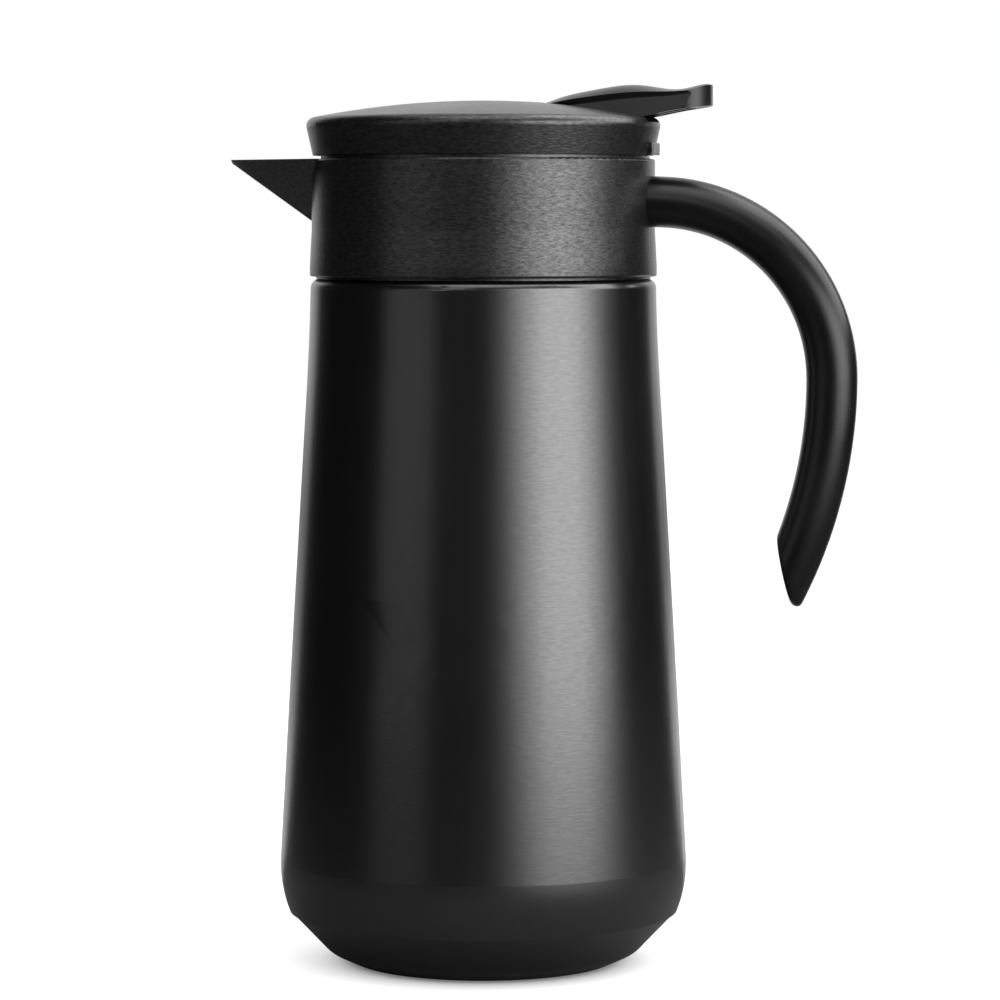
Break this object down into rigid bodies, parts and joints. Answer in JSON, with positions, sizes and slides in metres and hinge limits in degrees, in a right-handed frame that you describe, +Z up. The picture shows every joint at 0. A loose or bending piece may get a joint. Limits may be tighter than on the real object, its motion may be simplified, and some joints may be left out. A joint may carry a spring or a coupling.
{
  "type": "thermal jug",
  "caption": "Tapered double-walled steel jug with a plastic collar, V spout, open curved handle and a domed lid whose thumb lever lifts a pouring valve.",
  "frame": {"origin": "on the jug's axis at the underside of the foot pad", "axes": "+Z up the jug's axis, +X towards the handle, -X towards the spout, +Y across"},
  "size_m": [0.172, 0.1104, 0.2375],
  "materials": {
    "body_coat": "satin black powder coat",
    "flask_steel": "fine brushed stainless steel",
    "getter_metal": "pressed metal powder",
    "foot_rubber": "matt black rubber",
    "grained_plastic": "black plastic with a fine grain running round it",
    "smooth_plastic": "smooth satin black plastic",
    "inner_plastic": "plain moulded black plastic",
    "silicone": "milky silicone",
    "small_steel": "plain stainless steel"
  },
  "bodies": {
    "root": {"outer_shell": "body_coat", "inner_liner": "flask_steel", "liner_base": "flask_steel", "base_cup": "body_coat", "foot_pad": "foot_rubber", "vacuum_seal_disc": "flask_steel", "getter": "getter_metal", "collar": "grained_plastic", "neck_ring": "inner_plastic", "bore_ring": "inner_plastic", "pour_channel": "inner_plastic", "collar_gasket": "silicone", "handle": "smooth_plastic", "handle_plate": "small_steel", "handle_screws": "small_steel"},
    "lid": {"lid_cover": "grained_plastic", "lid_deck": "inner_plastic", "lid_spigot": "inner_plastic", "lid_screws": "small_steel", "stopper_body": "inner_plastic", "stopper_gasket": "silicone", "stopper_screws": "small_steel", "rod_guide": "inner_plastic", "rod_seal": "silicone", "hinge_pin": "small_steel", "valve_spring": "small_steel"},
    "lever": {"lever": "smooth_plastic", "lift_arm": "small_steel", "lift_arm_screw": "small_steel"},
    "valve": {"valve_rod": "small_steel", "rod_head": "inner_plastic", "valve_disc": "inner_plastic", "valve_seal": "silicone"}
  },
  "joints": [
    {"name": "lid_lift", "type": "slide", "parent": "root", "child": "lid", "axis": [0, 0, 1], "range_m": [0, 0.06]},
    {"name": "lever_press", "type": "hinge", "parent": "lid", "child": "lever", "pos_m": [0.033, 0, 0.225], "axis": [0, 1, 0], "range_deg": [0, 5], "stiffness_Nm_per_rad": 0.2, "springref_deg": -10.31},
    {"name": "valve_lift", "type": "slide", "parent": "lid", "child": "valve", "axis": [0, 0, 1], "range_m": [0, 0.003], "deforming": ["valve_spring"]}
  ],
  "couplings": [
    {"joint": "valve_lift", "follows": "lever_press", "m_per_rad": 0.033}
  ]
}
